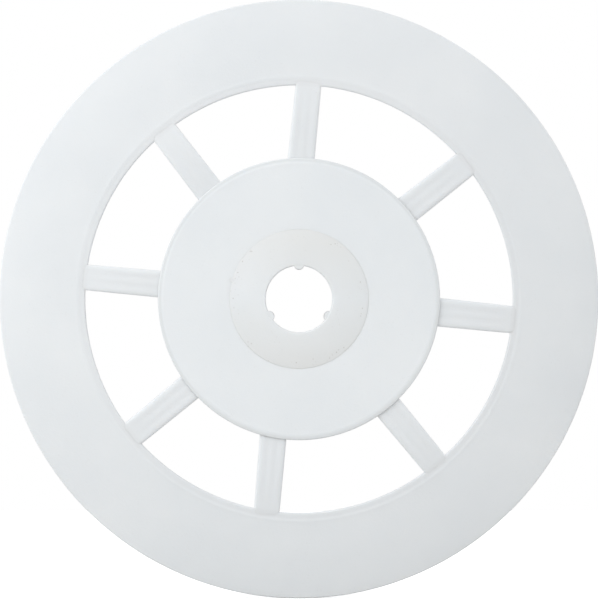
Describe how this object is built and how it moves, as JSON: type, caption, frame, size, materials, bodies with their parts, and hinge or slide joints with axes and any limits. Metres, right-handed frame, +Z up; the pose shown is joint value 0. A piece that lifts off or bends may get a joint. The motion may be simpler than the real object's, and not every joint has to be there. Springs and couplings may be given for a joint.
{
  "type": "film developing reel",
  "caption": "Adjustable film developing reel: spoked side wheels with spiral film tracks on a telescoping keyed core, in translucent white plastic.",
  "frame": {"origin": "centre of the reel, on its axis, half way between the two wheels", "axes": "+Y along the reel's axis, from the front wheel to the rear wheel; +Z up"},
  "size_m": [0.092, 0.0426, 0.092],
  "materials": {
    "wheel_plastic": "translucent white moulded plastic, satin",
    "hub_plastic": "translucent white plastic, a little warmer and duller",
    "core_plastic": "translucent white plastic, satin",
    "index_plastic": "natural acetal, slightly glossy"
  },
  "bodies": {
    "front_half": {"front_ring": "wheel_plastic", "front_hub_disc": "wheel_plastic", "front_hub_bush": "hub_plastic", "front_spoke_1": "wheel_plastic", "front_spoke_2": "wheel_plastic", "front_spoke_3": "wheel_plastic", "front_spoke_4": "wheel_plastic", "front_spoke_5": "wheel_plastic", "front_spoke_6": "wheel_plastic", "front_spoke_7": "wheel_plastic", "front_spoke_8": "wheel_plastic", "outer_core_tube": "core_plastic"},
    "index": {"width_index_ring": "index_plastic"},
    "rear_half": {"rear_ring": "wheel_plastic", "rear_hub_disc": "wheel_plastic", "rear_hub_bush": "hub_plastic", "rear_spoke_1": "wheel_plastic", "rear_spoke_2": "wheel_plastic", "rear_spoke_3": "wheel_plastic", "rear_spoke_4": "wheel_plastic", "rear_spoke_5": "wheel_plastic", "rear_spoke_6": "wheel_plastic", "rear_spoke_7": "wheel_plastic", "rear_spoke_8": "wheel_plastic", "inner_core_tube": "core_plastic"}
  },
  "joints": [
    {"name": "twist", "type": "hinge", "parent": "front_half", "child": "index", "pos_m": [0, 0, 0], "axis": [0, 1, 0], "range_deg": [-30, 30]},
    {"name": "film_width", "type": "slide", "parent": "index", "child": "rear_half", "axis": [0, 1, 0], "range_m": [0, 0.0265]}
  ]
}
